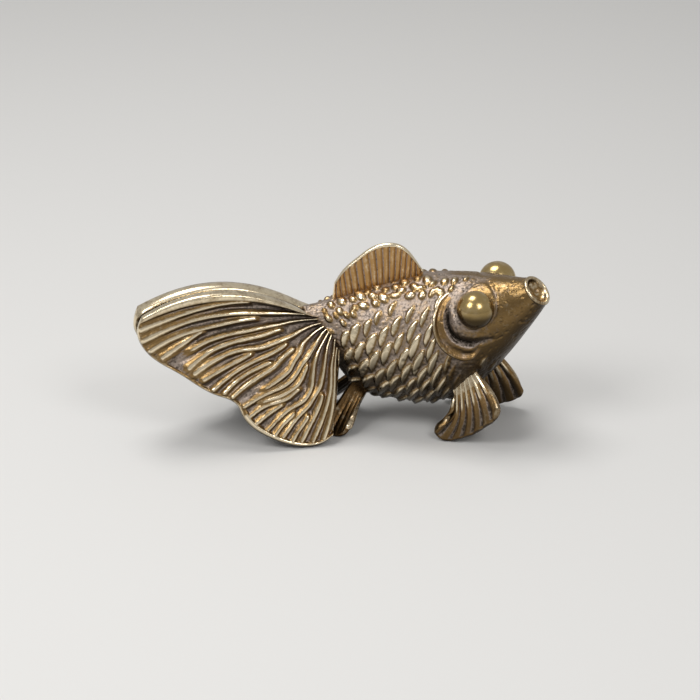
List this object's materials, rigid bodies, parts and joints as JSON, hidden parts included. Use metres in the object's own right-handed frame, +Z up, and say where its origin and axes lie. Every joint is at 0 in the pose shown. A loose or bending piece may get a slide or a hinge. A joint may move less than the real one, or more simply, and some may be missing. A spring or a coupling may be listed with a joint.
{
  "type": "fish figurine",
  "caption": "Small solid brass goldfish ornament with bulging eyes, ridged fins and a spread double tail, standing on its tail lobes and pectoral fins.",
  "frame": {"origin": "middle of the footprint's bounding box, on the floor plane that the fins stand on", "axes": "+X from the tail to the head, +Z up; the fish's left side faces +Y, and its spine bends toward -Y at both ends"},
  "size_m": [0.0442, 0.0174, 0.021],
  "materials": {
    "body": "antique cast brass, worn bright on the high places and brown in the hollows",
    "fins": "antique cast brass, worn bright on the high places and brown in the hollows",
    "gill_covers": "antique cast brass, worn bright on the high places and brown in the hollows",
    "eyes": "polished brass"
  },
  "bodies": {
    "root": {"body": "body", "dorsal_fin": "fins", "left_eye": "eyes", "right_eye": "eyes", "left_gill_cover": "gill_covers", "right_gill_cover": "gill_covers", "left_pectoral_fin": "fins", "right_pectoral_fin": "fins", "left_anal_fin": "fins", "right_anal_fin": "fins", "left_tail_fin": "fins", "right_tail_fin": "fins"}
  },
  "joints": []
}
